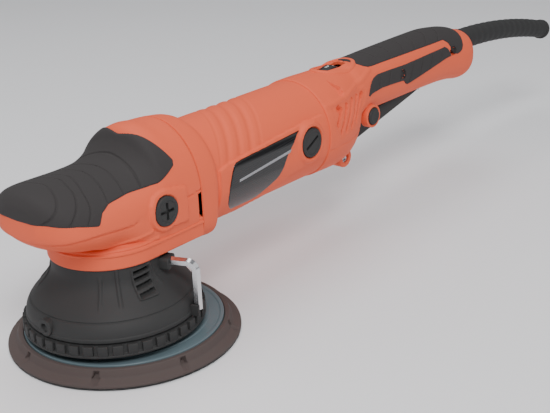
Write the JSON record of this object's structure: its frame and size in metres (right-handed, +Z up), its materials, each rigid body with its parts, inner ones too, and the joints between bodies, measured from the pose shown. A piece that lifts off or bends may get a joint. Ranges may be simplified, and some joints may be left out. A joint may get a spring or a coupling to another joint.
{
  "type": "dual action polisher",
  "caption": "Dual action car polisher: grip head with orbiting pad under a bell shroud, motor body, long trigger handle, lock button, speed dial and cord guard.",
  "frame": {"origin": "centre of the pad's hook face, on the pad's own axis, with the pad at the tail side of its orbit", "axes": "+X from the nose to the tail along the motor, +Z up from the pad to the head, +Y to the right of someone looking from the nose to the tail turned about, so that the lock button is on -Y"},
  "size_m": [0.6405, 0.15, 0.1365],
  "materials": {
    "hook": "napped hook fabric",
    "pad_foam": "moulded polyurethane, satin",
    "plate": "glass-filled nylon, satin",
    "steel": "turned",
    "cast_weight": "cast",
    "black_plastic": "fine grain",
    "black_rubber": "satin",
    "chrome": "bright",
    "alloy": "die cast",
    "orange_shell": "satin, fine grain",
    "grip_rubber": "soft, matt",
    "black_gloss": "semi-gloss",
    "brown_plastic": "phenolic",
    "iron_core": "laminated",
    "copper": "enamelled copper",
    "badge": "gloss",
    "brass": "drawn",
    "carbon": "carbon",
    "dial": "knurled",
    "board": "lacquered",
    "white_plastic": "satin",
    "guard_rubber": "smooth"
  },
  "bodies": {
    "housing": {"lower_bearing": "steel", "upper_bearing": "steel", "shroud": "black_plastic", "shroud_ring": "black_rubber", "shroud_screws": "steel", "key_clip": "black_plastic", "gear_case": "alloy", "head_shell": "orange_shell", "front_grip": "grip_rubber", "side_cap_left": "black_gloss", "side_cap_right": "black_gloss", "head_screws": "steel", "front_bearing": "steel", "rear_bearing": "steel", "field_stator": "iron_core", "motor_housing": "orange_shell", "badge_left": "badge", "badge_right": "badge", "brush_holder_left": "brass", "brush_holder_right": "brass", "carbon_brush_left": "carbon", "carbon_brush_right": "carbon", "brush_springs": "steel", "brush_cap_left": "black_gloss", "brush_cap_right": "black_gloss", "handle_half_left": "orange_shell", "handle_half_right": "orange_shell", "top_grip": "grip_rubber", "side_grip_left": "grip_rubber", "side_grip_right": "grip_rubber", "handle_screws": "steel", "speed_board": "board", "switch_body": "black_plastic", "trigger_pin": "steel", "trigger_spring": "steel", "terminal_block": "white_plastic", "cord_clamp": "black_plastic", "cord_guard": "guard_rubber"},
    "rotor": {"bevel_pinion": "steel", "rotor_shaft": "steel", "cooling_fan": "brown_plastic", "rotor_core": "iron_core", "rotor_windings": "copper", "commutator": "copper"},
    "spindle": {"drive_spindle": "steel", "crown_gear": "steel", "counterweight": "cast_weight", "pad_bearing_lower": "steel", "pad_bearing_upper": "steel"},
    "pad": {"pad_spindle": "steel", "backing_plate": "plate", "pad_bolt": "steel", "pad_foam": "pad_foam", "hook_face": "hook"},
    "trigger": {"trigger_paddle": "black_plastic"},
    "plunger": {"switch_plunger": "white_plastic"},
    "lock": {"lock_button": "black_gloss", "lock_spring": "steel"},
    "dial": {"speed_dial": "dial"},
    "key": {"hex_key": "chrome"}
  },
  "joints": [
    {"name": "rotor_spin", "type": "hinge", "parent": "housing", "child": "rotor", "pos_m": [-0.0075, 0, 0.0912], "axis": [1, 0, 0], "continuous": true},
    {"name": "spindle_spin", "type": "hinge", "parent": "housing", "child": "spindle", "pos_m": [-0.0075, 0, 0], "axis": [0, 0, 1], "continuous": true},
    {"name": "pad_spin", "type": "hinge", "parent": "spindle", "child": "pad", "pos_m": [0, 0, 0], "axis": [0, 0, 1], "continuous": true},
    {"name": "trigger_squeeze", "type": "hinge", "parent": "housing", "child": "trigger", "pos_m": [0.323, 0, 0.0882], "axis": [0, 1, 0], "range_deg": [0, 5], "stiffness_Nm_per_rad": 1.2, "springref_deg": -3.44, "deforming": ["trigger_spring"]},
    {"name": "plunger_press", "type": "slide", "parent": "housing", "child": "plunger", "axis": [0, 0, 1], "range_m": [0, 0.0053]},
    {"name": "lock_press", "type": "slide", "parent": "housing", "child": "lock", "axis": [0, 1, 0], "range_m": [0, 0.003], "stiffness_N_per_m": 900, "springref_m": -0.0008},
    {"name": "speed_turn", "type": "hinge", "parent": "housing", "child": "dial", "pos_m": [0.2215, 0, 0.1106], "axis": [0, 1, 0], "range_deg": [-150, 150]},
    {"name": "key_slide", "type": "slide", "parent": "housing", "child": "key", "axis": [0.3746, -0.9272, 0], "range_m": [0, 0.024]}
  ],
  "couplings": [
    {"joint": "spindle_spin", "follows": "rotor_spin", "ratio": 0.25},
    {"joint": "plunger_press", "follows": "trigger_squeeze", "m_per_rad": 0.0585}
  ]
}
